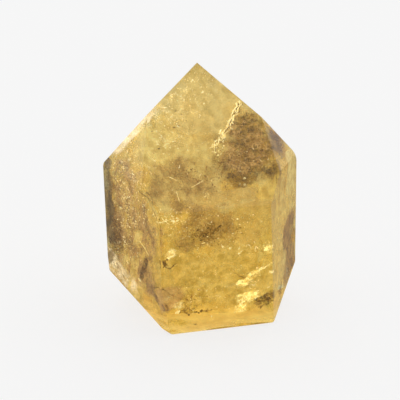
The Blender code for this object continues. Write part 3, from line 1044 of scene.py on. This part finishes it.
        flaws = {
            "glint_low": (
                Sheet((12.2, -12.6, 8.0), FRONT_SIDE, 7.6, 3.7, 0.1, 0.1, 10.0),
                Lace(*shining, 0.76, 0.0, 0.8, 0.5, 2.0, 0.3, even, 1.8),
            ),
            "glint_low_tail": (
                Sheet((10.2, -13.2, 5.1), FRONT_SIDE, 3.6, 2.6, 0.1, 0.1, 0.0),
                Lace(*shining, 0.80, 0.0, 0.6, 0.7, 1.2, 0.3, even, 2.4),
            ),
            "glint_streak": (
                Sheet((13.0, -12.6, 14.3), FRONT_SIDE, 8.0, 2.6, 0.1, 0.1, 32.0),
                Lace(*shining, 0.80, 0.0, 0.7, 0.7, 1.3, 0.3, even, 2.4),
            ),
            "glint_plate": (
                Sheet((10.6, -13.0, 12.3), FRONT_SIDE, 3.6, 2.1, 0.1, 0.1, -10.0),
                Lace(*shining, 0.76, 0.0, 0.7, 0.7, 1.2, 0.3, even, 2.4),
            ),
            "glint_right": (
                Sheet((17.0, -11.6, 21.6), FRONT_SIDE, 3.6, 3.2, 0.1, 0.1, -20.0),
                Lace(*shining, 0.80, 0.0, 0.7, 0.7, 1.0, 0.3, even, 2.4),
            ),
            "glint_left": (
                Sheet((-7.4, -17.4, 22.4), FRONT_SIDE, 4.4, 3.2, 0.1, 0.1, 35.0),
                Lace(*pearly, 0.76, 0.0, 0.8, 0.7, 1.2, 0.3, even, 2.4),
            ),
            "glint_foot": (
                Sheet((-5.6, -16.4, 7.6), FRONT_SIDE, 3.6, 2.6, 0.1, 0.1, 10.0),
                Lace(*pearly, 0.62, 0.0, 0.6, 0.5, 1.2, 0.3, even, 2.4),
            ),
            "glint_back": (
                Sheet((7.5, 18.3, 15.0), BACK_SIDE, 7.0, 3.0, 0.1, 0.1, 35.0),
                Lace(*shining, 0.80, 0.0, 0.7, 0.7, 1.4, 0.3, even, 2.4),
            ),
            "glint_back_high": (
                Sheet((-7.0, 15.2, 37.0), BACK_SIDE, 5.0, 2.6, 0.1, 0.1, -25.0),
                Lace(*pearly, 0.76, 0.0, 0.7, 0.7, 1.2, 0.3, even, 2.4),
            ),
            "bruise_back": (
                Sheet((-4.0, 17.0, 11.0), BACK_SIDE, 9.0, 4.0, 0.1, 0.1, -15.0),
                Lace(*dusky, 0.44, 0.0, 0.7, 0.4, 1.8, 0.5, even, 2.0),
            ),
            "bruise_low": (
                Sheet((16.5, -11.6, 6.7), FRONT_SIDE, 6.4, 3.8, 0.1, 0.1, 25.0),
                Lace(*dusky, 0.47, 0.0, 0.7, 0.4, 2.0, 0.5, even, 2.0),
            ),
            "bruise_wedge": (
                Sheet((-10.2, -15.6, 9.0), (-0.55, -0.80, -0.1), 8.0, 2.0, 0.1, 0.1, -48.0),
                Lace(*plum, 0.44, 0.2, 0.7, 0.4, 2.2, 0.5, even, 1.6),
            ),
            "bruise_vein": (
                Sheet((-13.7, -12.9, 16.0), (-0.755, -0.656, -0.035), 10.5, 2.0, 0.2, 0.1, 68.0),
                Lace(*dusky, 0.42, 0.1, 0.7, 0.4, 2.0, 0.5, even, 1.6),
            ),
            "bruise_foot": (
                Sheet((-4.0, -16.2, 6.4), FRONT_SIDE, 3.4, 1.8, 0.1, 0.1, 0.0),
                Lace(*dusky, 0.42, 0.0, 0.7, 0.4, 1.2, 0.4, even, 2.0),
            ),
        }
        for number, (name, (sheet, lace)) in enumerate(flaws.items()):
            grow_sheet(name, sheet, veil_finish(name, lace, number + 41), seed=120 + number)
        return {"FINISHED"}


class CITRINE_OT_chips(bpy.types.Operator):
    """Lays the larger bright and dark splinters that stand out one by one"""

    bl_idname = "citrine.chips"
    bl_label = "Lay the large splinters"

    def execute(self, context):
        glint = splinter_finish("glint", see_colour(255, 248, 196), see_colour(236, 204, 116), 0.85, 0.2, 0.4)
        soot = splinter_finish("soot", see_colour(132, 104, 56), see_colour(92, 68, 36), 0.46, 0.4, 0.5)
        bright = [
            Chip((9.8, -7.0, 40.0), 1.0, 0.4, 10.0),
            Chip((10.9, -8.1, 38.5), 0.8, 0.6, 30.0),
            Chip((10.9, -9.2, 37.3), 0.8, 0.6, -20.0),
            Chip((9.7, -9.3, 37.5), 0.7, 0.5, 60.0),
            Chip((-21.6, -3.7, 23.2), 0.7, 0.5, 60.0),
            Chip((-21.7, -3.0, 14.2), 1.0, 0.6, 70.0),
            Chip((-21.2, -3.6, 12.8), 1.2, 0.5, -50.0),
            Chip((9.1, -13.5, 30.4), 0.6, 0.4, 0.0),
            Chip((1.7, -15.2, 26.4), 0.5, 0.4, 0.0),
            Chip((0.7, -15.4, 24.7), 0.7, 0.3, 20.0),
            Chip((5.5, -14.2, 23.1), 0.6, 0.4, 80.0),
            Chip((7.3, -13.8, 22.5), 0.7, 0.5, 0.0),
            Chip((9.7, -13.2, 20.8), 1.2, 0.5, 15.0),
            Chip((19.6, -5.2, 20.0), 1.4, 0.5, 80.0),
            Chip((17.8, -11.1, 14.4), 1.0, 0.8, 20.0),
            Chip((10.2, -12.8, 5.0), 1.6, 0.7, 10.0),
            Chip((-5.7, -16.6, 5.9), 1.3, 0.9, 20.0),
            Chip((-14.6, -10.9, 12.1), 1.2, 0.9, -30.0),
        ]
        dark = [
            Chip((-3.0, -15.9, 4.7), 0.6, 0.5, 0.0),
            Chip((-1.2, -15.5, 5.3), 0.8, 0.4, 10.0),
            Chip((-1.2, -15.4, 1.8), 0.9, 0.3, 0.0),
            Chip((-0.7, -15.8, 28.5), 0.9, 0.5, 40.0),
            Chip((0.9, -15.4, 26.6), 1.1, 0.6, -20.0),
            Chip((1.8, -15.2, 28.8), 0.8, 0.5, 70.0),
            Chip((0.2, -15.4, 25.6), 1.0, 0.5, 20.0),
            Chip((4.6, -14.6, 28.8), 1.4, 0.5, 30.0),
            Chip((-6.5, -2.0, 49.6), 0.9, 0.25, 10.0),
            Chip((-5.4, -1.5, 49.9), 0.6, 0.25, -10.0),
            Chip((-4.7, 0.6, 52.0), 0.5, 0.35, 0.0),
            Chip((-6.2, 1.0, 52.8), 0.7, 0.25, 20.0),
            Chip((-10.2, -6.5, 45.8), 0.7, 0.3, 0.0),
        ]
        grow_chips("bright_chips", bright, glint, seed=67)
        grow_chips("dark_chips", dark, soot, seed=71)
        rng = np.random.default_rng(73)
        folds = Folds(rng, 8.0 * MM)
        spread = [
            Cloud((0.0, -8.0, 36.0), (12.0, 6.0, 7.0), (0, 0, 0), 34),
            Cloud((-15.0, -8.0, 26.0), (6.0, 5.0, 12.0), (0, 0, 0), 30),
            Cloud((4.0, 0.0, 24.0), (20.0, 14.0, 22.0), (0, 0, 0), 60),
        ]
        points = np.concatenate([cloud_points(cloud, folds, 1.0, rng) for cloud in spread])
        points = points[depth_inside(points) > 2.0 * MM]
        ways = rng.normal(size=(2, *points.shape))
        needles = Grit(0.5, 1.0, 12.0, 0.10, 4)
        splinters("needles", points, unit(ways[0]), ways[1], needles, glint, rng)
        return {"FINISHED"}


class CITRINE_OT_stage(bpy.types.Operator):
    """Sets up the floor, the soft light and the camera"""

    bl_idname = "citrine.stage"
    bl_label = "Set the stage"

    def execute(self, context):
        settings = context.scene.citrine_stage
        self.lay_floor(settings)
        self.light_room(context.scene, settings)
        self.aim_camera(context.scene, settings)
        self.set_quality(context.scene)
        return {"FINISHED"}

    def lay_floor(self, settings):
        half = 12.0
        drop = 0.2 * MM  # under the foot, so that the two never share a plane
        mesh = bpy.data.meshes.new("floor")
        corners = [(-half, -half, -drop), (half, -half, -drop), (half, half, -drop), (-half, half, -drop)]
        mesh.from_pydata(corners, [], [(0, 1, 2, 3)])
        mesh.materials.append(pale_floor(settings))
        floor = bpy.data.objects.new("floor", mesh)
        bpy.context.scene.collection.objects.link(floor)
        floor.visible_glossy = False

    def light_room(self, scene, settings):
        world = bpy.data.worlds.new("room")
        scene.world = world
        nodes = Nodes(world)
        way = nodes.add("ShaderNodeTexCoord", output=0)
        ahead = nodes.add("ShaderNodeSeparateXYZ", sockets={"Vector": way}, output=1)
        upward = nodes.add("ShaderNodeSeparateXYZ", sockets={"Vector": way}, output=2)
        below = upward.step(0.0, -0.1) * settings.low_shade
        shade = (1.0 - ahead.step(0.1, -0.8) * settings.front_shade) * (1.0 - below)
        seen = nodes.add("ShaderNodeLightPath", output=0)
        strength = nodes.add(
            "ShaderNodeMix", {"data_type": "FLOAT"}, {0: seen, 2: shade * settings.room_light, 3: 0.92}
        )
        light = nodes.add(
            "ShaderNodeBackground", sockets={"Color": (1.0, 1.0, 1.0, 1.0), "Strength": strength}
        )
        nodes.add("ShaderNodeOutputWorld", sockets={"Surface": light})

    def aim_camera(self, scene, settings):
        aim = Vector((0.0, -7.5 * MM, 32.5 * MM))
        down = settings.camera_height
        back = Vector((0.0, -math.cos(down), math.sin(down)))
        lens = bpy.data.cameras.new("camera")
        lens.lens = settings.lens
        lens.sensor_width = 36.0
        lens.clip_start = 0.01
        camera = bpy.data.objects.new("camera", lens)
        camera.location = aim + back * settings.camera_distance
        camera.rotation_euler = (math.radians(90.0) - down, 0.0, 0.0)
        scene.collection.objects.link(camera)
        scene.camera = camera

    def set_quality(self, scene):
        scene.view_settings.view_transform = "Standard"
        scene.cycles.max_bounces = 32
        scene.cycles.transmission_bounces = 24
        scene.cycles.glossy_bounces = 12
        scene.cycles.diffuse_bounces = 6
        scene.cycles.transparent_max_bounces = 32


class CITRINE_PT_panel(bpy.types.Panel):
    """Lists the stone's settings and the steps that make it"""

    bl_label = "Citrine point"
    bl_idname = "CITRINE_PT_panel"
    bl_space_type = "VIEW_3D"
    bl_region_type = "UI"
    bl_category = "Citrine"

    def draw(self, context):
        for group in SETTINGS:
            box = self.layout.box()
            box.label(text=group)
            settings = getattr(context.scene, group)
            for name in settings.bl_rna.properties.keys():
                if name not in ("rna_type", "name"):
                    box.prop(settings, name)
        for step in STEPS:
            self.layout.operator(step.bl_idname)


SETTINGS = {"citrine_stone": StoneSettings, "citrine_growth": GrowthSettings, "citrine_stage": StageSettings}
STEPS = (
    CITRINE_OT_polish,
    CITRINE_OT_grain,
    CITRINE_OT_veils,
    CITRINE_OT_sparkles,
    CITRINE_OT_smoke,
    CITRINE_OT_specks,
    CITRINE_OT_cracks,
    CITRINE_OT_chips,
    CITRINE_OT_stage,
)
CLASSES = (*SETTINGS.values(), *STEPS, CITRINE_PT_panel)


def register():
    """Adds the classes and the scene's settings to Blender."""
    for made in CLASSES:
        bpy.utils.register_class(made)
    for name, group in SETTINGS.items():
        setattr(bpy.types.Scene, name, bpy.props.PointerProperty(type=group))


def unregister():
    """Takes them out again."""
    for name in SETTINGS:
        delattr(bpy.types.Scene, name)
    for made in reversed(CLASSES):
        bpy.utils.unregister_class(made)


def main():
    """Makes everything."""
    register()
    for step in STEPS:
        family, name = step.bl_idname.split(".")
        getattr(getattr(bpy.ops, family), name)()


if __name__ == "__main__":
    main()
